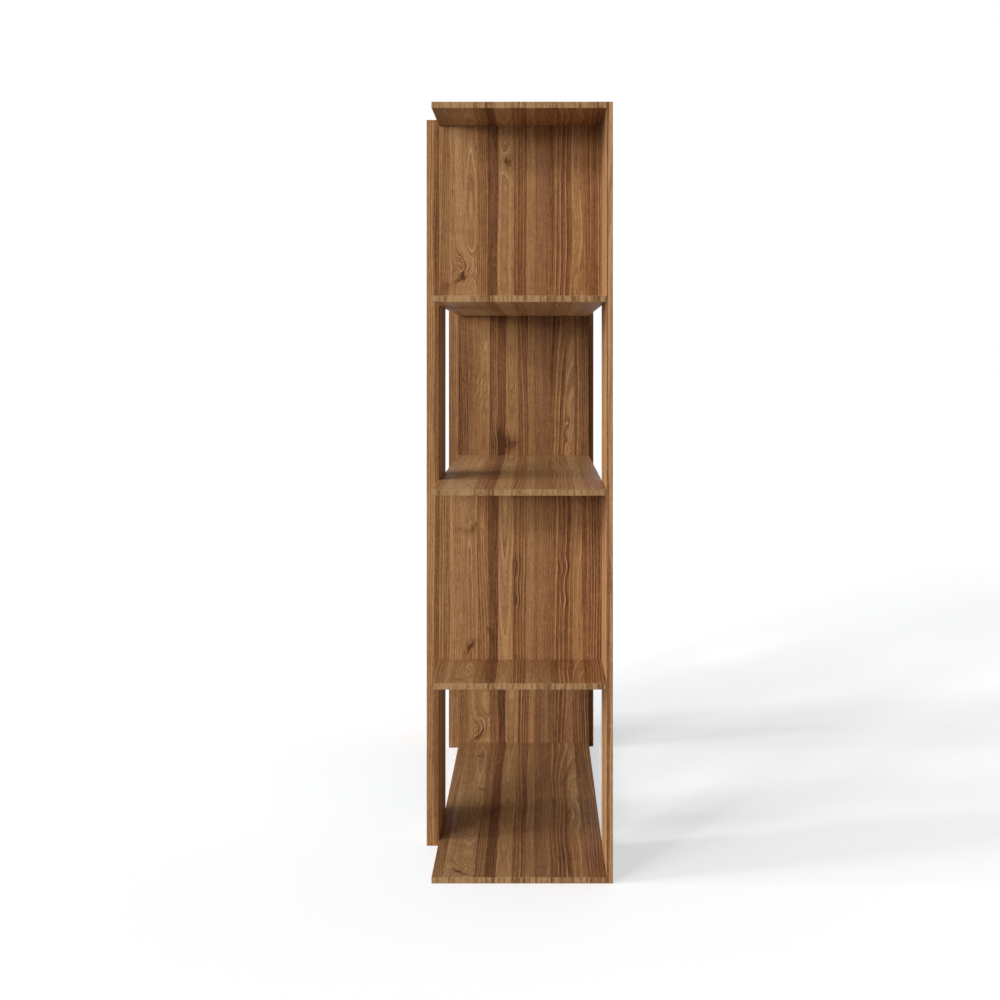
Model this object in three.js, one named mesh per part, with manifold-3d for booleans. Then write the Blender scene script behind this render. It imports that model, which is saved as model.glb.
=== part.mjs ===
// Zigzag bookshelf: five thin boards, four end panels that alternate from tier to tier,
// four narrow uprights as tall as the whole case, and the wooden dowels that hold them.
// Millimetres. X is the length, Y the depth with the front at -Y, Z is up.
// The origin is the middle of the footprint, on the floor.

import * as THREE from "three";
import { mergeVertices } from "three/addons/utils/BufferGeometryUtils.js";
import Module from "manifold-3d";

// Boards and panels
const boardThickness = 12;
const boardLength = 1112;
const boardDepth = 327;
const tierClearHeight = 350;

// Uprights
const uprightWidth = 200;
const frontUprightThickness = 12;
const rearUprightThickness = 25;

// Dowels and the glue that surrounds them
const dowelDiameter = 6;
const dowelLength = 30;
const dowelFaceDepth = 8;
const dowelChamfer = 0.7;
const dowelEndRoom = 1;
const panelDowelInset = 50;
const glueLine = 0.2;
const cutOverrun = 1;

// Counts
const tierCount = 4;
const dowelSides = 12;

// Places that follow from the sizes
const tierPitch = tierClearHeight + boardThickness;
const totalHeight = tierCount * tierPitch + boardThickness;
const totalDepth = frontUprightThickness + boardDepth + rearUprightThickness;
const leftEnd = -boardLength / 2;
const rightEnd = boardLength / 2;
const frontFace = -totalDepth / 2;
const rearFace = totalDepth / 2;
const boardFront = frontFace + frontUprightThickness;
const boardRear = rearFace - rearUprightThickness;
const boardMiddleY = (boardFront + boardRear) / 2;
const leftPanelX = leftEnd + uprightWidth;
const rightPanelX = rightEnd - uprightWidth - boardThickness;

// Finishes
const walnut = { color: 0x8b6444, roughness: 0.48, metalness: 0 };
const paleWalnut = { color: 0x9c7654, roughness: 0.48, metalness: 0 };
const beech = { color: 0xd8b88a, roughness: 0.7, metalness: 0 };

const wasm = await Module();
wasm.setup();

// A closed three.js geometry as a solid that can be cut.
function solidOf(geometry) {
  const plain = geometry.clone();
  plain.deleteAttribute("normal");
  plain.deleteAttribute("uv");
  const merged = mergeVertices(plain);
  return new wasm.Manifold(
    new wasm.Mesh({
      numProp: 3,
      vertProperties: merged.attributes.position.array,
      triVerts: new Uint32Array(merged.index.array),
    }),
  );
}

// A cut solid as a three.js geometry again.
function geometryOf(solid) {
  const mesh = solid.getMesh();
  const geometry = new THREE.BufferGeometry();
  geometry.setAttribute("position", new THREE.BufferAttribute(mesh.vertProperties, 3));
  geometry.setIndex(new THREE.BufferAttribute(mesh.triVerts, 1));
  geometry.computeVertexNormals();
  return geometry;
}

// Turns a shape made along +Y so that it runs along another direction.
function turnAlong(geometry, direction) {
  const turn = new THREE.Quaternion().setFromUnitVectors(new THREE.Vector3(0, 1, 0), direction);
  return geometry.applyQuaternion(turn);
}

// One board: a box between two corners, which remembers the holes that its dowels need.
function makeBoard(name, low, high, finish) {
  const size = high.clone().sub(low);
  const centre = low.clone().add(high).multiplyScalar(0.5);
  return { name, size, centre, finish, holes: [] };
}

// The drill that makes one blind hole, from just outside its mouth to its full depth.
function drill(hole, centre) {
  const radius = dowelDiameter / 2 + glueLine;
  const cut = new THREE.CylinderGeometry(radius, radius, hole.depth + cutOverrun, dowelSides);
  cut.translate(0, (hole.depth - cutOverrun) / 2, 0);
  turnAlong(cut, hole.into);
  const mouth = hole.mouth.clone().sub(centre);
  return solidOf(cut.translate(mouth.x, mouth.y, mouth.z));
}

// A board's mesh, with every blind hole cut into it.
function boardMesh(board) {
  const box = new THREE.BoxGeometry(board.size.x, board.size.y, board.size.z);
  let solid = solidOf(box);
  for (const hole of board.holes) {
    solid = solid.subtract(drill(hole, board.centre));
  }
  const mesh = new THREE.Mesh(geometryOf(solid), new THREE.MeshStandardMaterial(board.finish));
  mesh.name = board.name;
  mesh.position.copy(board.centre);
  return mesh;
}

// A dowel's mesh: a round pin with both ends chamfered, lying from start along its direction.
function dowelMesh(name, start, direction) {
  const radius = dowelDiameter / 2;
  const profile = [
    new THREE.Vector2(0, 0),
    new THREE.Vector2(radius - dowelChamfer, 0),
    new THREE.Vector2(radius, dowelChamfer),
    new THREE.Vector2(radius, dowelLength - dowelChamfer),
    new THREE.Vector2(radius - dowelChamfer, dowelLength),
    new THREE.Vector2(0, dowelLength),
  ];
  const pin = turnAlong(new THREE.LatheGeometry(profile, dowelSides), direction);
  const mesh = new THREE.Mesh(pin, new THREE.MeshStandardMaterial(beech));
  mesh.name = name;
  mesh.position.copy(start);
  return mesh;
}

// Horizontal boards, from the floor up. They stop one glue line short of the uprights.
const boardNames = ["base_board", "shelf_lower", "shelf_middle", "shelf_upper", "top_board"];
const flatBoards = boardNames.map((name, level) => {
  const bottom = level * tierPitch;
  const low = new THREE.Vector3(leftEnd, boardFront + glueLine, bottom);
  const high = new THREE.Vector3(rightEnd, boardRear - glueLine, bottom + boardThickness);
  return makeBoard(name, low, high, walnut);
});

// Tier panels, numbered from the top: left, right, left, right. They stand between two boards.
const panels = [];
for (let tier = 1; tier <= tierCount; tier++) {
  const onLeft = tier % 2 === 1;
  const side = onLeft ? "left" : "right";
  const x = onLeft ? leftPanelX : rightPanelX;
  const below = flatBoards[tierCount - tier];
  const above = flatBoards[tierCount - tier + 1];
  const bottom = (tierCount - tier) * tierPitch + boardThickness;
  const low = new THREE.Vector3(x, boardFront + glueLine, bottom + glueLine);
  const high = new THREE.Vector3(
    x + boardThickness,
    boardRear - glueLine,
    bottom + tierClearHeight - glueLine,
  );
  const board = makeBoard("panel_" + tier + "_" + side, low, high, paleWalnut);
  panels.push({ board, below, above, bottom, middleX: x + boardThickness / 2 });
}

// Uprights. The front pair ends flush with the boards' ends, and the rear pair starts at the
// near face of the panels on its own end.
const uprightPlans = [
  { name: "front_left", x: leftEnd, front: true },
  { name: "front_right", x: rightEnd - uprightWidth, front: true },
  { name: "rear_left", x: leftPanelX, front: false },
  { name: "rear_right", x: rightPanelX, front: false },
];
const uprights = uprightPlans.map((plan) => {
  const low = new THREE.Vector3(plan.x, plan.front ? frontFace : boardRear, 0);
  const high = new THREE.Vector3(
    plan.x + uprightWidth,
    plan.front ? boardFront : rearFace,
    totalHeight,
  );
  const board = makeBoard("upright_" + plan.name, low, high, walnut);
  return { ...plan, board, middleX: plan.x + uprightWidth / 2 };
});

// One dowel joint: a short blind hole in a board's broad face, a deep one in the other board's
// edge, and the dowel across both. The direction runs from the face into the edge.
const dowels = [];
function addDowel(name, faceBoard, edgeBoard, at, direction) {
  const back = direction.clone().negate();
  faceBoard.holes.push({ mouth: at, into: back, depth: dowelFaceDepth + dowelEndRoom });
  const edgeDepth = dowelLength - dowelFaceDepth + dowelEndRoom;
  edgeBoard.holes.push({ mouth: at, into: direction, depth: edgeDepth });
  const start = at.clone().addScaledVector(back, dowelFaceDepth);
  dowels.push(dowelMesh("dowel_" + name, start, direction));
}

// Two dowels in the top and two in the bottom edge of every panel.
const up = new THREE.Vector3(0, 0, 1);
const down = new THREE.Vector3(0, 0, -1);
for (const panel of panels) {
  for (const place of ["front", "rear"]) {
    const inFront = place === "front";
    const y = inFront ? boardFront + panelDowelInset : boardRear - panelDowelInset;
    const foot = new THREE.Vector3(panel.middleX, y, panel.bottom);
    const head = new THREE.Vector3(panel.middleX, y, panel.bottom + tierClearHeight);
    const name = panel.board.name;
    addDowel(name + "_bottom_" + place, panel.below, panel.board, foot, up);
    addDowel(name + "_top_" + place, panel.above, panel.board, head, down);
  }
}

// One dowel where each upright crosses each board, in the middle of both.
const rearward = new THREE.Vector3(0, 1, 0);
const forward = new THREE.Vector3(0, -1, 0);
for (const upright of uprights) {
  for (const flat of flatBoards) {
    const y = upright.front ? boardFront : boardRear;
    const at = new THREE.Vector3(upright.middleX, y, flat.centre.z);
    const direction = upright.front ? rearward : forward;
    addDowel(flat.name + "_" + upright.name, upright.board, flat, at, direction);
  }
}

// The whole bookcase
const bookshelf = new THREE.Group();
const boards = [...flatBoards, ...panels.map((p) => p.board), ...uprights.map((u) => u.board)];
for (const board of boards) {
  bookshelf.add(boardMesh(board));
}
bookshelf.add(...dowels);

export default bookshelf;
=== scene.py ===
# %% [markdown]
# # A zigzag bookshelf in planked walnut
#
# The bookcase is made of thin boards only: five horizontal ones, a panel in each tier that
# stands now at one end and now at the other, and four narrow uprights. With so simple a shape,
# everything depends on the wood: its staves, its grain and the way that light lies on it.
# This lesson first sets the camera and the studio, then builds the boards from arrays, and then
# spends most of its lines on one procedural walnut that every board shares.

import math

import bmesh
import bpy
import numpy as np
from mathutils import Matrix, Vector


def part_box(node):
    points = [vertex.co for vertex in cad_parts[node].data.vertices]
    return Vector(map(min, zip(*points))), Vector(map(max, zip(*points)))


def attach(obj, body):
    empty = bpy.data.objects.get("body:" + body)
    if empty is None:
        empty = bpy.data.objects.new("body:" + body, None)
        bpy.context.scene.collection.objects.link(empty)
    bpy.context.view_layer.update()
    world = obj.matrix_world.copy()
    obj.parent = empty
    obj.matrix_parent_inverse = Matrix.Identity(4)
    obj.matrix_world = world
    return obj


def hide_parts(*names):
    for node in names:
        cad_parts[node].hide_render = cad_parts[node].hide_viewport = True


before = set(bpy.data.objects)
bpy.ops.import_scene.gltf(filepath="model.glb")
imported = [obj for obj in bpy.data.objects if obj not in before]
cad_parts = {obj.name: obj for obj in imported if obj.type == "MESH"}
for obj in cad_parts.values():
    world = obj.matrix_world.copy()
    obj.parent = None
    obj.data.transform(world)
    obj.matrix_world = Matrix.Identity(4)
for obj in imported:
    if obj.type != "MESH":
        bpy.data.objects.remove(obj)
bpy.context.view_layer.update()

# %% [markdown]
# ## The camera
#
# The photograph looks straight along the boards from their left end, level, from a little over
# two and a half metres away. Verticals stay parallel and the near board ends stay exactly
# horizontal, which means that the camera isn't tilted: the lens is shifted instead, as with an
# architect's camera. The shift is the distance of the vanishing point from the picture's middle.

# %% Camera
PICTURE = 1000
VANISHING_X = 537.8
VANISHING_Y = 356.3
EYE_DISTANCE = 2.593
EYE_HEIGHT = 0.9845
EYE_FROM_REAR_EDGES = 0.1985
LENS_MM = 50
SENSOR_MM = 36

board_low, board_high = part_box("base_board")
camera_data = bpy.data.cameras.new("camera")
camera_data.lens = LENS_MM
camera_data.sensor_width = SENSOR_MM
camera_data.shift_x = (PICTURE / 2 - VANISHING_X) / PICTURE
camera_data.shift_y = (VANISHING_Y - PICTURE / 2) / PICTURE
camera = bpy.data.objects.new("camera", camera_data)
camera.location = (board_low.x - EYE_DISTANCE, board_high.y - EYE_FROM_REAR_EDGES, EYE_HEIGHT)
camera.rotation_euler = (math.radians(90), 0, math.radians(-90))
bpy.context.scene.collection.objects.link(camera)
bpy.context.scene.camera = camera
bpy.context.scene.view_settings.view_transform = "Standard"
print("camera at", [round(c, 3) for c in camera.location])

# %% [markdown]
# ## Sums on sockets
#
# A procedural material is arithmetic on the place of a point. Written node by node it is long and
# hard to read, so one small class wraps a node's output: `a * 2 + b` adds the two Math nodes that
# it stands for. Anything that isn't plain arithmetic comes from its one method `node`.


# %% A socket that can stand in a sum
class Link:
    """An output socket. Python's operators on it add the Math nodes that they stand for."""

    def __init__(self, tree, socket=None):
        self.tree = tree
        self.socket = socket

    def node(self, kind, settings=None, inputs=None, output=0):
        """Adds a node: its settings first, then the values or links of its sockets."""
        made = self.tree.nodes.new(kind)
        for key, value in (settings or {}).items():
            if key == "stops":
                ramp = made.color_ramp
                while len(ramp.elements) < len(value):
                    ramp.elements.new(1.0)
                for element, (place, colour) in zip(ramp.elements, value):
                    element.position = place
                    element.color = (*colour, 1.0)
            elif key == "interpolation":
                made.color_ramp.interpolation = value
            else:
                setattr(made, key, value)
        for key, value in (inputs or {}).items():
            if isinstance(value, Link):
                self.tree.links.new(value.socket, made.inputs[key])
            else:
                made.inputs[key].default_value = value
        return Link(self.tree, made.outputs[output] if made.outputs else None)

    def other(self, output):
        """Another output of the node that this link comes from."""
        return Link(self.tree, self.socket.node.outputs[output])

    def math(self, operation, *values):
        """One Math node on the values, which are numbers or links."""
        return self.node("ShaderNodeMath", {"operation": operation}, dict(enumerate(values)))

    def __add__(self, other):
        return self.math("ADD", self, other)

    __radd__ = __add__

    def __sub__(self, other):
        return self.math("SUBTRACT", self, other)

    def __rsub__(self, other):
        return self.math("SUBTRACT", other, self)

    def __mul__(self, other):
        return self.math("MULTIPLY", self, other)

    __rmul__ = __mul__

    def __truediv__(self, other):
        return self.math("DIVIDE", self, other)

    def __rtruediv__(self, other):
        return self.math("DIVIDE", other, self)

    def __pow__(self, other):
        return self.math("POWER", self, other)

    def __rpow__(self, other):
        return self.math("POWER", other, self)


print("Link can add, subtract, multiply, divide and raise to a power")

# %% [markdown]
# ## The studio
#
# The shadows of the photograph tell where its lamps stand. One band of shadow runs from each
# upright straight to the right, and another runs to the right and away from the camera, with a
# dark triangle where both overlap. So the light comes low from the left, through a quarter turn
# from square to the bookcase to beside the camera, as from a row of tall windows. A row of small
# suns stands for it. The deep shade under the top board asks for a soft lamp overhead, and two
# weak ones fill in from the right and from the far end. Suns with wide discs do this well,
# because they light the whole floor alike, wherever the object stands.

# %% Lamps
# Each lamp: its strength, the width of its disc, how far it stands from the bookcase's left
# towards the camera, and how high. The last three are in degrees.
LAMPS = {
    "left_low": (0.98, 7, 0, 10),
    "left_middle": (0.70, 7, 15, 18),
    "left_high": (0.38, 7, 10, 26),
    "near_left_low": (0.98, 7, 44, 6),
    "near_left_soft": (1.00, 32, 40, 10),
    "near_left_high": (0.62, 7, 56, 22),
    "overhead": (1.02, 100, 0, 90),
    "right_fill": (0.10, 100, 190, 30),
    "far_fill": (0.35, 100, 250, 35),
}

for name, (strength, disc, turn, rise) in LAMPS.items():
    data = bpy.data.lights.new(name, "SUN")
    data.energy = strength
    data.angle = math.radians(disc)
    turn, rise = math.radians(turn), math.radians(rise)
    level = math.cos(rise)
    towards = Vector((-math.sin(turn) * level, math.cos(turn) * level, math.sin(rise)))
    sun = bpy.data.objects.new(name, data)
    sun.rotation_euler = towards.to_track_quat("Z", "Y").to_euler()
    bpy.context.scene.collection.objects.link(sun)
    print(name, "lamp stands towards", [round(c, 2) for c in towards])

# %% [markdown]
# ## The room
#
# The background is white to the eye and in reflections, yet it must not flood the shadows with
# light. The Light Path node tells the two apart. For the camera, a reflection or a view through
# glass the world has the strength 1, and for the light that reaches a surface it has a small one.

# %% Room
ROOM_STRENGTH = 0.06
WHITE = (1.0, 1.0, 1.0, 1.0)


def seen_by_eye(tree):
    """1 for the rays of the camera, of a reflection or of a view through glass, otherwise 0."""
    camera_ray, glossy_ray, glass_ray = (
        tree.node("ShaderNodeLightPath", output=name)
        for name in ("Is Camera Ray", "Is Glossy Ray", "Is Transmission Ray")
    )
    return tree.math("MAXIMUM", tree.math("MAXIMUM", camera_ray, glossy_ray), glass_ray)


world = bpy.data.worlds.new("room")
world.use_nodes = True
world.node_tree.nodes.clear()
bpy.context.scene.world = world
room = Link(world.node_tree)
strength = seen_by_eye(room) * (1 - ROOM_STRENGTH) + ROOM_STRENGTH
light = room.node("ShaderNodeBackground", inputs={"Color": WHITE, "Strength": strength})
room.node("ShaderNodeOutputWorld", inputs={"Surface": light})
print("the room lights at", ROOM_STRENGTH, "and looks white")

# %% [markdown]
# ## Soft patches
#
# A soft round patch is a bell: 1 in its middle, fading to nothing all round. The floor needs two
# such patches of another colour, and later every knot in the wood is made of them. One helper
# works out a bell, and another mixes two colours by it.

# %% A bell and a mix of two colours
# The sockets of a Mix node that it uses for colours.
MIX_FACTOR, MIX_FIRST, MIX_SECOND = 0, 6, 7
MIX_RESULT = 2


def mix_colour(tree, blend, factor, first, second):
    """A Mix node on two colours."""
    settings = {"data_type": "RGBA", "blend_type": blend}
    inputs = {MIX_FACTOR: factor, MIX_FIRST: first, MIX_SECOND: second}
    return tree.node("ShaderNodeMix", settings, inputs, output=MIX_RESULT)


def bell(across, along, radius, length, turn):
    """exp(-u^2 - v^2), where u and v are the place, turned by an angle and divided by two sizes."""
    turn = math.radians(turn)
    u = (across * math.cos(turn) + along * math.sin(turn)) / radius
    v = (along * math.cos(turn) - across * math.sin(turn)) / length
    return math.exp(-1) ** (u * u + v * v)


print("a bell falls to", round(math.exp(-1), 3), "at its radius")

# %% [markdown]
# ## The floor
#
# The photograph's floor is almost as white as its background, with soft grey shadows. A white
# matt floor would throw so much light back that the undersides of the shelves would glow. So the
# eye sees a pale floor with a little light of its own, and the other rays meet a greyer one. On
# its lit side the wood throws a warm light on the floor, which the photograph doesn't show, and
# the bookcase keeps some light off the floor beside it. So the glow changes there in two patches
# of painted light: a wide one that is cooler and a little stronger, and a small one with less red
# at the foot of the near rear upright.

# %% Floor
FLOOR_HALF = 60.0
FLOOR_SEEN = 0.93
FLOOR_BOUNCE = 0.44
FLOOR_GLOW_SHARE = 0.2
FLOOR_GLOW = 2.62
GLOW_COLOUR = (0.808, 0.821, 0.833, 1.0)

# Each patch of painted light in the glow: where it lies on the floor, its radius and its colour.
PAINTED_LIGHT_PATCHES = [
    ((-0.05, 0.36), 0.48, (0.850, 0.908, 0.950, 1.0)),
    ((-0.25, 0.22), 0.16, (0.753, 0.863, 0.932, 1.0)),
]

floor_mesh = bpy.data.meshes.new("floor")
corners = np.array([(-1, -1, 0), (1, -1, 0), (1, 1, 0), (-1, 1, 0)]) * FLOOR_HALF
floor_mesh.from_pydata(corners, [], [(0, 1, 2, 3)])
floor = bpy.data.objects.new("floor", floor_mesh)
bpy.context.scene.collection.objects.link(floor)
floor_paint = bpy.data.materials.new("floor_paint")
floor_paint.use_nodes = True
floor_paint.node_tree.nodes.clear()
paint = Link(floor_paint.node_tree)
eye = seen_by_eye(paint)
shade = eye * (FLOOR_SEEN - FLOOR_BOUNCE) + FLOOR_BOUNCE
matt = paint.node("ShaderNodeBsdfDiffuse", inputs={"Color": shade})
floor_place = paint.node("ShaderNodeTexCoord", output="Object")
floor_x = paint.node("ShaderNodeSeparateXYZ", inputs={0: floor_place})
floor_y = floor_x.other("Y")
glow_colour = GLOW_COLOUR
# Painted light: each patch makes the glow brighter and cooler round its place.
for (patch_x, patch_y), radius, colour in PAINTED_LIGHT_PATCHES:
    patch = bell(floor_x - patch_x, floor_y - patch_y, radius, radius, 0)
    glow_colour = mix_colour(paint, "MIX", patch, glow_colour, colour)
glow = paint.node("ShaderNodeEmission", inputs={"Color": glow_colour, "Strength": FLOOR_GLOW})
mixed = paint.node("ShaderNodeMixShader", inputs={0: eye * FLOOR_GLOW_SHARE, 1: matt, 2: glow})
paint.node("ShaderNodeOutputMaterial", inputs={"Surface": mixed})
floor_mesh.materials.append(floor_paint)
print("floor seen at", FLOOR_SEEN, "and throwing back", FLOOR_BOUNCE)

# %% [markdown]
# ## Boards
#
# A laminated board is a box whose arrises are broken by a fraction of a millimetre. Each one is
# made as a rounded rectangle carried along the grain, and the rectangle shrinks at both ends the
# way a quarter circle does, so that the end arrises are rounded as well.

# %% A board from arrays
EASE = 0.0008
EASE_STEPS = 3


def rounded_box(half, ease, steps):
    """Vertices and quads of a box with rounded arrises, centred at the origin.

    Its section is a rectangle of half sizes w and t with corners of radius r. Along the length,
    at an angle p from 0 to 90 degrees near each end, the section stands r (1 - sin p) inside
    the end, is drawn in by r (1 - cos p), and its corners have the radius r cos p.
    """
    bend = np.linspace(0, np.pi / 2, steps + 1)
    rise = np.concatenate([bend[::-1], bend])
    side = np.repeat([-1, 1], steps + 1)
    along = side * (half[2] - ease * (1 - np.sin(rise)))
    inset = ease * (1 - np.cos(rise))
    radius = ease * np.cos(rise)
    turn = np.concatenate([bend + quarter * np.pi / 2 for quarter in range(4)])
    corner = np.repeat(np.arange(4), steps + 1)
    across = np.array([1, -1, -1, 1])[corner]
    over = np.array([1, 1, -1, -1])[corner]
    w = across * (half[0] - inset - radius)[:, None] + radius[:, None] * np.cos(turn)
    t = over * (half[1] - inset - radius)[:, None] + radius[:, None] * np.sin(turn)
    g = np.broadcast_to(along[:, None], w.shape)
    points = np.stack([w, t, g], axis=-1).reshape(-1, 3)
    rings, count = w.shape
    ring, place = np.meshgrid(np.arange(rings - 1), np.arange(count), indexing="ij")
    here = ring * count + place
    beside = ring * count + (place + 1) % count
    quads = np.stack([here, beside, beside + count, here + count], axis=-1).reshape(-1, 4)
    caps = [list(range(count))[::-1], list(range((rings - 1) * count, rings * count))]
    return points, quads.tolist() + caps


TEST_HALF_SIZES = (0.1, 0.006, 0.5)
test_points, test_faces = rounded_box(TEST_HALF_SIZES, EASE, EASE_STEPS)
print("a board has", len(test_points), "points and", len(test_faces), "faces")

# %% [markdown]
# Every board is cut from one long sheet of decor. The sheet's coordinates are metres across the
# staves and metres along them, stored as a UV map. A broad face takes its width across, a long
# edge takes its thickness, and a cut end gets a material of its own. The CAD boards stop one glue
# line short of each other. The finished ones close it, and the front uprights also reach behind
# the panels' rounded arris, so that no light shows in a joint.

# %% Cut a board from the sheet
AXES = {"x": 0, "y": 1, "z": 2}
GLUE_LINE = 0.0002
MERGE_DISTANCE = 1e-6
SHEET_MAP = "decor"


def make_board(name, grain, thick, seats, sheet, materials):
    """A finished board in the box of its CAD node, with the sheet's coordinates on it.

    grain and thick name the axes of its length and its thickness. seats says how far each side
    that meets another board reaches past the CAD box. sheet is the place of its corner on the
    sheet, across and along.
    """
    low, high = (np.array(corner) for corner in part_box(name))
    for side, reach in seats.items():
        if side[0] == "-":
            low[AXES[side[1]]] -= reach
        else:
            high[AXES[side[1]]] += reach
    g, t = AXES[grain], AXES[thick]
    w = 3 - g - t
    points, faces = rounded_box((high - low)[[w, t, g]] / 2, EASE, EASE_STEPS)
    placed = np.empty_like(points)
    placed[:, [w, t, g]] = points
    placed += (low + high) / 2
    mesh = bpy.data.meshes.new("finished_" + name)
    mesh.from_pydata(placed, [], faces)
    work = bmesh.new()
    work.from_mesh(mesh)
    bmesh.ops.remove_doubles(work, verts=work.verts, dist=MERGE_DISTANCE)
    bmesh.ops.recalc_face_normals(work, faces=work.faces)
    work.to_mesh(mesh)
    work.free()
    lay_sheet(mesh, low, high, (w, t, g), sheet)
    for material in materials:
        mesh.materials.append(material)
    piece = bpy.data.objects.new("finished_" + name, mesh)
    bpy.context.scene.collection.objects.link(piece)
    return piece


def lay_sheet(mesh, low, high, order, sheet):
    """Stores the sheet's coordinates, with each face mapped flat along its own main direction.

    Across runs from the rear or from the left, and along runs from the left end or the top.
    """
    w, t, g = order
    count = len(mesh.polygons)
    normals = np.empty(count * 3)
    mesh.polygons.foreach_get("normal", normals)
    main = np.abs(normals.reshape(-1, 3)).argmax(axis=1)
    totals = np.empty(count, dtype=int)
    mesh.polygons.foreach_get("loop_total", totals)
    corner = np.empty(len(mesh.loops), dtype=int)
    mesh.loops.foreach_get("vertex_index", corner)
    places = np.empty(len(mesh.vertices) * 3)
    mesh.vertices.foreach_get("co", places)
    from_low = places.reshape(-1, 3)[corner] - low
    from_high = high - places.reshape(-1, 3)[corner]
    inward = np.stack([from_low[:, 0], from_high[:, 1], from_high[:, 2]], axis=-1)
    facing = np.repeat(main, totals)
    across = sheet[0] + np.where(facing == w, inward[:, t], inward[:, w])
    along = sheet[1] + np.where(facing == g, inward[:, t], inward[:, g])
    uv_layer = mesh.uv_layers.new(name=SHEET_MAP)
    uv_layer.data.foreach_set("uv", np.stack([across, along], axis=-1).ravel())
    mesh.polygons.foreach_set("material_index", (main == g).astype(int))


print("boards are cut by make_board and reach over", GLUE_LINE * 1000, "mm of glue")

# %% [markdown]
# ## Staves
#
# The sheet is made of staves, as if fourteen narrow planks had been glued side by side. Each has
# its own tone, its own redness and its own pith, which is the middle of the tree's rings. Where
# the pith lies under the stave the rings come up as nested arches, and where it lies far off to
# one side they are straight lines. Two colour ramps with hard steps hold these values, one stop
# for each stave, so that a shader can look them up by the place across the sheet.

# %% The staves' own values
SHEET_WIDTH = 0.36
PITH_LOW = -0.05
PITH_SPAN = 0.45
DEPTH_SPAN = 0.06
SPACING_SPAN = 0.016

STAVE_FIELDS = ("start", "tone", "pith", "depth", "warmth", "lines", "spacing")
STAVES = [
    dict(zip(STAVE_FIELDS, values))
    for values in (
        (0.000, 0.52, -0.040, 0.006, 0.70, 0.90, 0.0045),
        (0.020, 0.26, 0.160, 0.006, 0.45, 0.45, 0.0040),
        (0.052, 0.22, 0.064, 0.014, 0.45, 0.55, 0.0060),
        (0.077, 0.56, 0.140, 0.006, 0.90, 0.90, 0.0045),
        (0.098, 0.80, 0.020, 0.006, 1.00, 0.30, 0.0050),
        (0.117, 0.22, 0.132, 0.012, 0.45, 0.50, 0.0050),
        (0.149, 0.63, 0.230, 0.008, 0.90, 0.90, 0.0070),
        (0.175, 0.32, 0.080, 0.006, 0.45, 0.45, 0.0040),
        (0.192, 0.54, 0.350, 0.006, 0.00, 0.55, 0.0034),
        (0.222, 0.66, 0.180, 0.006, 0.60, 0.60, 0.0050),
        (0.231, 0.59, 0.292, 0.022, 0.90, 1.00, 0.0085),
        (0.268, 0.31, 0.292, 0.022, 0.50, 0.60, 0.0085),
        (0.288, 0.60, 0.210, 0.008, 0.80, 0.50, 0.0070),
        (0.303, 0.69, 0.240, 0.006, 0.90, 1.00, 0.0060),
    )
]


def stave_stops(low, span, *fields):
    """One stop for each stave, with three of its values brought to the range 0 to 1."""
    return [
        (
            stave["start"] / SHEET_WIDTH,
            tuple((stave[f] - lo) / sp for f, lo, sp in zip(fields, low, span)),
        )
        for stave in STAVES
    ]


SHAPE_STOPS = stave_stops((0, PITH_LOW, 0), (1, PITH_SPAN, DEPTH_SPAN), "tone", "pith", "depth")
LOOK_STOPS = stave_stops((0, 0, 0), (1, 1, SPACING_SPAN), "warmth", "lines", "spacing")
print(len(STAVES), "staves across", SHEET_WIDTH, "metres")

# %% [markdown]
# ## Parts of a wood material
#
# A few small functions keep the shader short: noise whose coordinates are given one by one, a
# colour ramp, the place on the sheet, and a lacquered surface that takes any colour and grain.
# One ramp turns the wood's tone into colour, from pale honey at 0 to dark brown at 1, with a
# little room past both ends so that no stave goes flat. A tint makes some staves redder and
# others cooler.

# %% Helpers for a wood material
TONE_LOW = -0.2
TONE_SPAN = 1.4
TONES = [
    (-0.20, (0.510, 0.324, 0.144)),
    (0.00, (0.462, 0.286, 0.124)),
    (0.25, (0.362, 0.204, 0.081)),
    (0.50, (0.280, 0.143, 0.056)),
    (0.75, (0.199, 0.096, 0.040)),
    (1.00, (0.118, 0.055, 0.025)),
    (1.20, (0.088, 0.040, 0.019)),
]
TONE_STOPS = [((tone - TONE_LOW) / TONE_SPAN, colour) for tone, colour in TONES]
COOL_TINT = (1.00, 0.965, 1.08, 1.0)
WARM_TINT = (1.03, 0.935, 0.965, 1.0)
WOOD_ROUGHNESS = 0.43
WOOD_SPECULAR = 0.02


def new_material(name):
    """An empty material and the start of its node tree."""
    material = bpy.data.materials.new(name)
    material.use_nodes = True
    material.node_tree.nodes.clear()
    return material, Link(material.node_tree)


def noise(tree, x, y, z=0.0, detail=2.0, roughness=0.5):
    """Noise from -0.5 to 0.5 whose coordinates are given one by one."""
    place = tree.node("ShaderNodeCombineXYZ", inputs={0: x, 1: y, 2: z})
    inputs = {"Vector": place, "Scale": 1.0, "Detail": detail, "Roughness": roughness}
    return tree.node("ShaderNodeTexNoise", inputs=inputs) - 0.5


def ramp(tree, value, stops, interpolation="LINEAR"):
    """A colour ramp on a value."""
    settings = {"interpolation": interpolation, "stops": stops}
    return tree.node("ShaderNodeValToRGB", settings, {"Fac": value})


def channels(tree, colour):
    """The three channels of a colour as numbers."""
    red = tree.node("ShaderNodeSeparateColor", inputs={"Color": colour})
    return red, red.other("Green"), red.other("Blue")


def sheet_place(tree):
    """The place on the sheet: metres across the staves, metres along them."""
    uv = tree.node("ShaderNodeUVMap", {"uv_map": SHEET_MAP})
    across = tree.node("ShaderNodeSeparateXYZ", inputs={0: uv})
    return across, across.other("Y")


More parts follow.
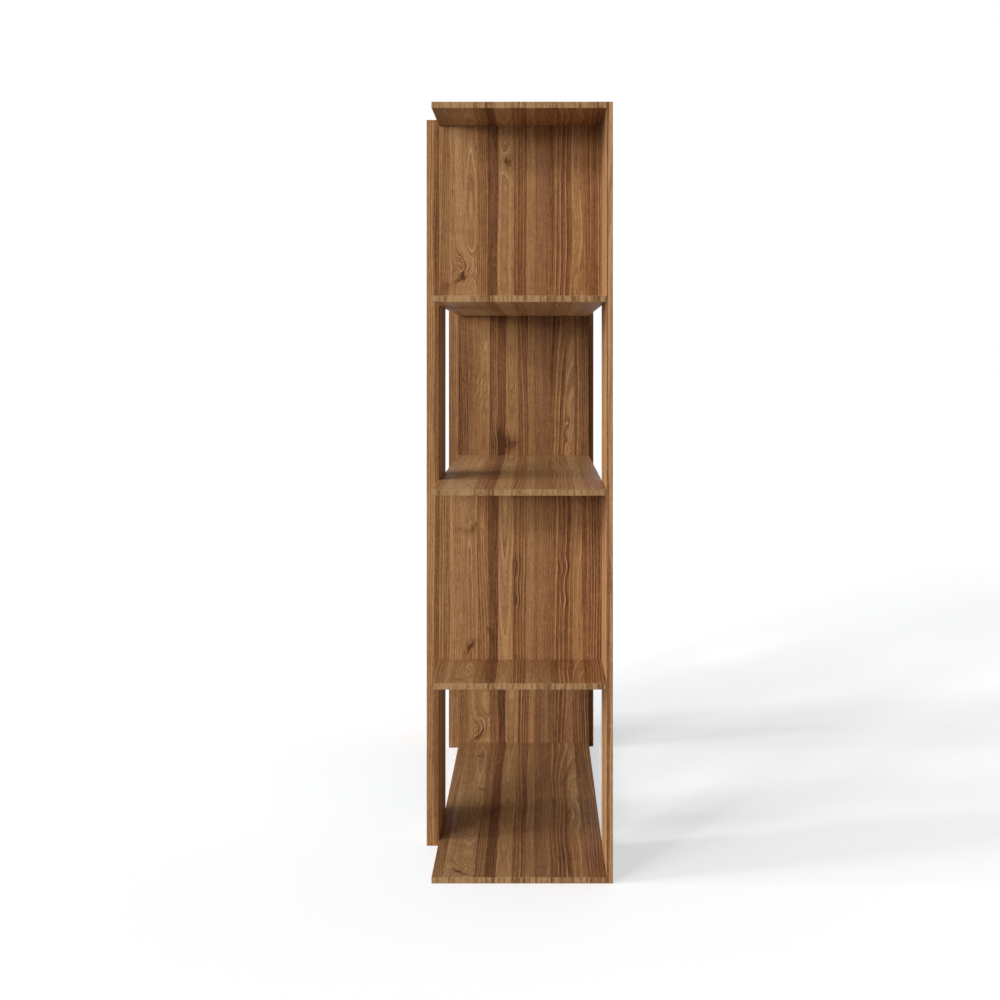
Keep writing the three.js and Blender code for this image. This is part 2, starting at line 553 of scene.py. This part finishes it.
def wood_shader(tree, colour, roughness, height, depth):
    """Lacquered wood: the colour, a satin surface and the height of its grain in metres."""
    relief = {"Strength": 1.0, "Distance": depth, "Height": height}
    bump = tree.node("ShaderNodeBump", inputs=relief)
    shader = tree.node(
        "ShaderNodeBsdfPrincipled",
        inputs={
            "Base Color": colour,
            "Roughness": roughness,
            "Specular IOR Level": WOOD_SPECULAR,
            "Normal": bump,
        },
    )
    tree.node("ShaderNodeOutputMaterial", inputs={"Surface": shader})


print("helpers ready")

# %% [markdown]
# ## The walnut itself
#
# The tone of the wood is a sum. The stave gives its own tone, the rings add thin lines, and noise
# drawn out along the grain adds bands, streaks and fibres that follow them. Flecks, pores and a
# faint shimmer lie on the surface.
#
# The rings are counted by the distance from the pith over their spacing. A share p of the way
# through a ring, its tone moves by p^3 times a small number, less (1 - p)^5 times a larger one,
# so each ring starts with a thin pale line and ends a little darker. A figure is a bell on the
# sheet, exp(-u^2 - v^2). Added to the distance it bends the rings, as a knot does. Added to the
# tone it makes a knot's dark heart.

# %% Layers of the walnut
# Layers of noise drawn out along the grain: cells per metre across, cells per metre along,
# detail, and how far they move what they are added to. The first six move places, in metres.
JOINT_WANDER = (12, 2.6, 1.0, 0.012)
LEAN = (5, 1.2, 1.0, 0.030)
WAVE = (14, 2.4, 1.0, 0.012)
RIPPLE = (120, 22, 1.0, 0.0012)
WARP_ACROSS = (60, 40, 2.0, 0.010)
WARP_ALONG = (60, 40, 2.0, 0.014)
BANDS = (80, 0.9, 1.0, 0.6)
STREAKS = (400, 2.2, 2.0, 0.72)
FIBRES = (1000, 22, 1.0, 0.78)
FLECKS = (480, 130, 1.0, 0.62)
SHIMMER = (26, 55, 2.0, 0.22)
FAINTNESS = (90, 1.6, 1.0, 2.4)
GRAIN = (2600, 90, 1.0, 1.0)

# Each layer that all staves share has a seed of its own. The others take the stave's seed.
JOINT_SEED = 0.0
LEAN_SEED = 3.0
ACROSS_SEED = 5.0
ALONG_SEED = 9.0
GRAIN_SEED = 7.0

# Noise that changes in one direction only, and a number that tells the staves apart.
SEED_SPREAD = 60
SWAYS = 1.4
PITH_SWAY = 5.0
UNEVEN_CELLS = 60
UNEVEN_RINGS = 1.4
SLOW_SEEDS = 3
SLOW_CELLS = 2.2
SLOW_CHANGE = 0.3

# How strongly the rings, the bent grain round a figure and the pores show, and how steeply the
# rings fade. A pore opens where the fine grain falls below a level.
RING_DARK = 0.15
RING_PALE = 0.75
DARK_FADE = 3
PALE_FADE = 5
STRESS = 0.5
PORE_LEVEL = 0.14
PORE_SLOPE = 6
PORE_SOFTNESS = 0.1
PORE_DEPTH = 0.15

# How fibres and rings change the roughness, and what they add to the height of the grain.
FIBRE_ROUGHNESS = 0.2
RING_ROUGHNESS = 0.05
FIBRE_RELIEF = 2
RING_RELIEF = 0.5
GRAIN_HEIGHT = 0.00006


def layer(tree, across, along, seed, plan):
    """One layer of noise, already as strong as it moves its sum."""
    return noise(tree, across * plan[0], along * plan[1], seed, plan[2]) * plan[3]


print("the finest layer has cells", round(1000 / GRAIN[0], 2), "mm wide")

# %% [markdown]
# Now the sum itself. The stave comes first, because the rest takes its values from it. Then come
# the distance from the pith, the figures that bend it, the rings that it counts, and last the
# noise that follows it. The tone turns into colour only at the very end.

# %% The walnut
def walnut(name, figures, darkness_and_painted_light):
    """Planked walnut. figures are (across, along, radius, length, turn, swirl, dark) on the sheet,
    with the turn in degrees, and darkness_and_painted_light darkens the whole board. It is partly
    the board's own tone and partly painted light, which lifts the shade under the upper shelf and
    brightens the broad inner faces of the near uprights."""
    material, tree = new_material(name)
    across, along = sheet_place(tree)

    # Which stave: the joints wander by a few millimetres.
    place = across + layer(tree, across, along, JOINT_SEED, JOINT_WANDER)
    share = place / SHEET_WIDTH
    tone, pith, depth = channels(tree, ramp(tree, share, SHAPE_STOPS, "CONSTANT"))
    warmth, lines, spacing = channels(tree, ramp(tree, share, LOOK_STOPS, "CONSTANT"))
    pith = pith * PITH_SPAN + PITH_LOW
    seed = pith * SEED_SPREAD

    # The distance from the pith, whose depth sways along the board.
    sway = noise(tree, along * SWAYS, seed, detail=1.0) * PITH_SWAY
    under = depth * DEPTH_SPAN * (sway + 1)
    aside = place - pith
    distance = (aside * aside + under * under) ** 0.5
    distance = distance + layer(tree, across, along, LEAN_SEED, LEAN)
    distance = distance + layer(tree, across, along, seed, WAVE)
    distance = distance + layer(tree, across, along, seed, RIPPLE)

    # Knots and swirls push the rings aside, and may be dark or pale at heart.
    bent_across = across + layer(tree, across, along, ACROSS_SEED, WARP_ACROSS)
    bent_along = along + layer(tree, across, along, ALONG_SEED, WARP_ALONG)
    heart = 0.0
    stress = 0.0
    for figure_across, figure_along, radius, length, turn, swirl, dark in figures:
        a = bent_across - figure_across
        b = bent_along - figure_along
        hill = bell(a, b, radius, length, turn)
        if swirl:
            distance = distance + hill * swirl
            stress = hill * STRESS + stress
        if dark:
            heart = hill * dark + heart

    # The rings are unevenly wide. Each darkens towards its end and starts with a thin pale line.
    count = distance / (spacing * SPACING_SPAN)
    count = count + noise(tree, distance * UNEVEN_CELLS, seed, detail=1.0) * UNEVEN_RINGS
    part = count.math("FRACT", count)
    rings = part ** DARK_FADE * (stress + RING_DARK) - (1 - part) ** PALE_FADE * RING_PALE
    faint = layer(tree, distance, along, seed, FAINTNESS) + 1

    # Bands, streaks and fibres follow the rings. Flecks, shimmer and pores lie on the surface.
    bands = layer(tree, distance, along, seed, BANDS)
    streaks = layer(tree, distance, along, seed, STREAKS)
    fibres = layer(tree, distance, along, seed, FIBRES)
    flecks = layer(tree, across, along, seed, FLECKS)
    shimmer = layer(tree, across, along, seed, SHIMMER)
    grain = layer(tree, across, along, GRAIN_SEED, GRAIN)
    pores = grain.math("SMOOTH_MIN", (grain + PORE_LEVEL) * PORE_SLOPE, 0.0, PORE_SOFTNESS) * -1
    slow = noise(tree, along * SLOW_CELLS, seed * SLOW_SEEDS, detail=1.0) * SLOW_CHANGE

    dark = tone + rings * (lines + stress) * faint + bands + streaks + fibres + flecks + shimmer
    dark = dark + slow + pores * PORE_DEPTH + heart + darkness_and_painted_light
    colour = ramp(tree, (dark - TONE_LOW) / TONE_SPAN, TONE_STOPS)
    tint = mix_colour(tree, "MIX", warmth, COOL_TINT, WARM_TINT)
    colour = mix_colour(tree, "MULTIPLY", 1.0, colour, tint)
    roughness = fibres * FIBRE_ROUGHNESS + rings * RING_ROUGHNESS + WOOD_ROUGHNESS
    height = fibres * FIBRE_RELIEF + rings * RING_RELIEF - pores
    wood_shader(tree, colour, roughness, height, GRAIN_HEIGHT)
    return material


TEST_FIGURE = (0.046, 0.316, 0.02, 0.05, 0, 0.02, 0.5)
test = walnut("walnut_test", [TEST_FIGURE], 0.0)
print(test.name, "has", len(test.node_tree.nodes), "nodes")
bpy.data.materials.remove(test)

# %% [markdown]
# ## Cut ends
#
# Where a board is cut across, the photograph shows a paler and yellower edge with fine lines that
# run through the board's thickness. It has the same staves, but their difference is fainter.

# %% The cut ends
END_STOPS = [
    (0.0, (0.430, 0.258, 0.122)),
    (0.5, (0.292, 0.154, 0.066)),
    (1.0, (0.140, 0.068, 0.030)),
]
END_TONE = 0.31
END_STAVES = 0.8
END_BROAD = (60, 6, 1.0, 0.8)
END_LINES = (230, 22, 2.0, 2.6)
END_FIBRE = (800, 90, 1.0, 1.6)
BROAD_SEED = 1.0
LINES_SEED = 2.0
FIBRE_SEED = 3.0
END_ROUGHNESS = 0.55
END_UNEVEN = 0.12
END_RELIEF = 0.4
MIDDLE_TONE = 0.5


def cut_end(name):
    """Pale end of a board: lines across the thickness, with a faint trace of the staves."""
    material, tree = new_material(name)
    across, along = sheet_place(tree)
    tone = channels(tree, ramp(tree, across / SHEET_WIDTH, SHAPE_STOPS, "CONSTANT"))[0]
    broad = layer(tree, across, along, BROAD_SEED, END_BROAD)
    lines = layer(tree, across, along, LINES_SEED, END_LINES)
    fibre = layer(tree, across, along, FIBRE_SEED, END_FIBRE)
    dark = (tone - MIDDLE_TONE) * END_STAVES + broad + lines + fibre + END_TONE
    colour = ramp(tree, dark, END_STOPS)
    roughness = fibre * END_UNEVEN + END_ROUGHNESS
    wood_shader(tree, colour, roughness, (lines + fibre) * END_RELIEF, GRAIN_HEIGHT)
    return material


END_WOOD = cut_end("walnut_cut_end")
print(END_WOOD.name, "has", len(END_WOOD.node_tree.nodes), "nodes")

# %% [markdown]
# ## Knots and board plans
#
# A knot is what is left of a branch: a small dark heart that the rings close round, with a fan of
# bent rings above it. The same sheet is printed over and over, so the photograph shows one knot
# in two panels. Every other mark is placed where the photograph has it, as two wide faint bells
# that make the second panel darker at its rear edge and paler towards its front edge, a narrow
# bell for a crack, or a bent ring for a curl in the grain.

# %% Knots and marks
def knot(across, along):
    """A knot that the rings close round: petals above it, its core, a smear and two cracks."""
    return [
        (across + 0.004, along - 0.024, 0.018, 0.030, 0, 0.021, 0.00),
        (across + 0.002, along - 0.003, 0.005, 0.006, 0, 0.004, 0.45),
        (across - 0.003, along + 0.003, 0.004, 0.015, 60, 0.000, 0.75),
        (across + 0.010, along - 0.015, 0.0018, 0.012, 30, 0.000, 0.40),
        (across - 0.001, along - 0.018, 0.0016, 0.014, -15, 0.000, 0.35),
    ]


# A hair: its step from the last one, across and along, then radius, length, turn and swirl.
HAIR_STEP = (0.0040, 0.0055)
HAIR = (0.0018, 0.016, 17, 0.000)
HAIR_DARK = 0.16


def feather(across, along, hairs):
    """Slanting hairs side by side, each a little lower, by turns dark and pale."""
    return [
        (across + HAIR_STEP[0] * i, along + HAIR_STEP[1] * i, *HAIR, HAIR_DARK * (-1) ** i)
        for i in range(hairs)
    ]


# Each knot, swirl or mark: across the sheet, along the board, radius, length, turn, swirl and
# darkness. The turn is in degrees and leans the far end of the length towards the sheet's start.
FIGURES = {
    "panel_1_left": [
        *knot(0.047, 0.306),
        (0.015, 0.322, 0.012, 0.010, 0, 0.000, 0.25),
        (0.137, 0.075, 0.010, 0.030, 0, 0.007, 0.00),
        (0.135, 0.071, 0.002, 0.007, 0, 0.000, 0.80),
        (0.075, 0.046, 0.002, 0.005, 20, 0.000, 0.50),
        (0.027, 0.131, 0.002, 0.003, 0, 0.000, 0.40),
        (0.041, 0.134, 0.013, 0.001, 0, 0.000, -0.20),
        (0.278, 0.292, 0.003, 0.007, 25, 0.002, 0.25),
    ],
    "panel_2_right": [
        (0.114, 0.321, 0.025, 0.027, 0, 0.004, 0.62),
        (0.141, 0.318, 0.0016, 0.013, 75, 0.000, 0.35),
        (0.138, 0.327, 0.0016, 0.013, 50, 0.000, 0.35),
        (0.106, 0.130, 0.011, 0.150, 0, 0.000, -0.30),
        *feather(0.044, 0.155, 9),
        *feather(0.040, 0.190, 9),
        # These two wide bells make the panel darker at its rear edge and paler towards its front
        # edge.
        (0.020, 0.170, 0.045, 0.300, 0, 0.000, 0.22),
        (0.270, 0.200, 0.070, 0.300, 0, 0.000, -0.14),
        (0.276, 0.270, 0.009, 0.026, 0, 0.009, -0.05),
        (0.274, 0.310, 0.007, 0.012, 0, 0.007, -0.05),
        (0.016, 0.157, 0.006, 0.002, 0, 0.000, -0.25),
        (0.011, 0.160, 0.002, 0.004, 0, 0.000, 0.35),
        (0.171, 0.155, 0.014, 0.001, 0, 0.000, -0.25),
        (0.098, 0.166, 0.008, 0.001, 0, 0.000, -0.25),
    ],
    "panel_3_left": [
        (0.071, 0.084, 0.005, 0.011, 30, 0.003, 0.52),
        (0.056, 0.091, 0.020, 0.006, 0, 0.000, 0.20),
        (0.102, 0.291, 0.004, 0.007, 0, 0.003, 0.45),
        (0.107, 0.310, 0.008, 0.014, 0, 0.000, 0.15),
        (0.060, 0.327, 0.005, 0.018, 35, 0.004, 0.60),
        (0.066, 0.320, 0.012, 0.016, 20, 0.000, 0.15),
        (0.157, 0.163, 0.010, 0.018, 0, 0.003, 0.18),
        (0.156, 0.228, 0.008, 0.016, 0, 0.003, 0.16),
        (0.252, 0.165, 0.013, 0.017, 25, 0.0045, -0.05),
        (0.255, 0.231, 0.010, 0.016, -20, 0.003, -0.08),
    ],
    "panel_4_right": knot(0.050, 0.334),
    "base_board": [
        (0.048, 0.044, 0.020, 0.028, 45, 0.022, 0.00),
        (0.049, 0.029, 0.0045, 0.020, 45, 0.000, 0.90),
        (0.058, 0.786, 0.006, 0.012, 0, 0.005, 0.45),
        (0.050, 0.790, 0.020, 0.004, 0, 0.000, 0.25),
        (0.073, 0.529, 0.006, 0.008, 0, 0.005, 0.40),
        (0.055, 0.535, 0.020, 0.003, 0, 0.000, 0.20),
        (0.050, 0.168, 0.020, 0.002, 0, 0.000, 0.25),
        (0.178, 0.237, 0.014, 0.002, 0, 0.000, -0.35),
        (0.107, 0.736, 0.008, 0.004, 0, 0.000, -0.30),
        (0.277, 0.355, 0.010, 0.060, 0, 0.005, 0.00),
    ],
    "shelf_lower": [(0.053, 0.030, 0.008, 0.010, 0, 0.007, 0.50)],
}

print(sum(len(figures) for figures in FIGURES.values()), "figures on", len(FIGURES), "boards")

# %% [markdown]
# Each board has a place of its own along the sheet, so no two look the same. The uprights also
# start at another stave, which gives their narrow front edges the colour that the photograph
# shows there. For the two near uprights that stave is also painted light, as it puts paler wood
# on their broad inner faces.

# %% The boards
SHEET_PITCH = 1.7

# Each board: the axes of its length and thickness, the sides that meet another board, its slot,
# where across the sheet it starts, and how much darker than the others it is. Part of that
# darkness is painted light: the upper shelf is much lighter to lift the shade on its underside,
# and the two near uprights are lighter to brighten their broad inner faces.
GLUED = {"-y": GLUE_LINE, "+y": GLUE_LINE}
GLUED_ALL_ROUND = {**GLUED, "-z": GLUE_LINE, "+z": GLUE_LINE}
FLAT = ("x", "z", GLUED, "walnut_flat_board")
PANEL = ("z", "x", GLUED_ALL_ROUND, "walnut_panel")
UPRIGHT = ("z", "y", {}, "walnut_upright")
UPRIGHT_LEFT = ("z", "y", {"+x": EASE}, "walnut_upright")
UPRIGHT_RIGHT = ("z", "y", {"-x": EASE}, "walnut_upright")
BOARDS = {
    "top_board": (FLAT, 0.0, -0.02),
    # Much lighter: painted light that lifts the shade on its underside.
    "shelf_upper": (FLAT, 0.0, -0.36),
    "shelf_middle": (FLAT, 0.0, -0.17),
    "shelf_lower": (FLAT, 0.0, 0.00),
    "base_board": (FLAT, 0.0, 0.03),
    "panel_1_left": (PANEL, 0.0, 0.03),
    "panel_2_right": (PANEL, 0.0, 0.18),
    "panel_3_left": (PANEL, 0.0, 0.03),
    "panel_4_right": (PANEL, 0.0, 0.14),
    # The near uprights' starting staves and lighter tone paint light on their broad inner faces.
    "upright_front_left": (UPRIGHT_LEFT, 0.114, -0.08),
    "upright_rear_left": (UPRIGHT, 0.084, -0.13),
    "upright_rear_right": (UPRIGHT, 0.020, 0.26),
    "upright_front_right": (UPRIGHT_RIGHT, 0.150, -0.05),
}

for index, (name, (kind, across, darkness_and_painted_light)) in enumerate(BOARDS.items()):
    grain, thick, seats, slot = kind
    sheet = (across, index * SHEET_PITCH)
    figures = [(at, sheet[1] + along, *rest) for at, along, *rest in FIGURES.get(name, [])]
    wood = walnut("walnut_" + name, figures, darkness_and_painted_light)
    piece = make_board(name, grain, thick, seats, sheet, [wood, END_WOOD])
    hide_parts(name)
    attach(piece, "root")
    print(name, "starts at", round(sheet[1], 2), "m along the sheet")

# %% [markdown]
# ## Dowels
#
# The dowels are beech and lie hidden in the joints. Their CAD shapes stay and take a plain
# material of their own, with fibres along each dowel.

# %% Beech for the dowels
BEECH_STOPS = [(0.0, (0.70, 0.50, 0.29)), (1.0, (0.52, 0.34, 0.18))]
BEECH_ROUGHNESS = 0.6
BEECH_UNEVEN = 0.2
BEECH_HEIGHT = 0.0001

# Flecks per metre across the fibres and along them.
ACROSS_FIBRES = 1500
ALONG_FIBRES = 120


def beech(name, stretch):
    """Pale beech, whose flecks are drawn out along the axis where stretch is small."""
    material, tree = new_material(name)
    place = tree.node("ShaderNodeTexCoord", output="Object")
    x = tree.node("ShaderNodeSeparateXYZ", inputs={0: place})
    y, z = x.other("Y"), x.other("Z")
    fleck = noise(tree, x * stretch[0], y * stretch[1], z * stretch[2])
    colour = ramp(tree, fleck + 0.5, BEECH_STOPS)
    wood_shader(tree, colour, fleck * BEECH_UNEVEN + BEECH_ROUGHNESS, fleck, BEECH_HEIGHT)
    return material


STANDING_BEECH = beech("beech_standing", (ACROSS_FIBRES, ACROSS_FIBRES, ALONG_FIBRES))
LYING_BEECH = beech("beech_lying", (ACROSS_FIBRES, ALONG_FIBRES, ACROSS_FIBRES))
dowels = [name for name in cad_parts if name.startswith("dowel_")]
for name in dowels:
    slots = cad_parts[name].data.materials
    slots.clear()
    slots.append(STANDING_BEECH if name.startswith("dowel_panel_") else LYING_BEECH)
print(len(dowels), "dowels in beech")
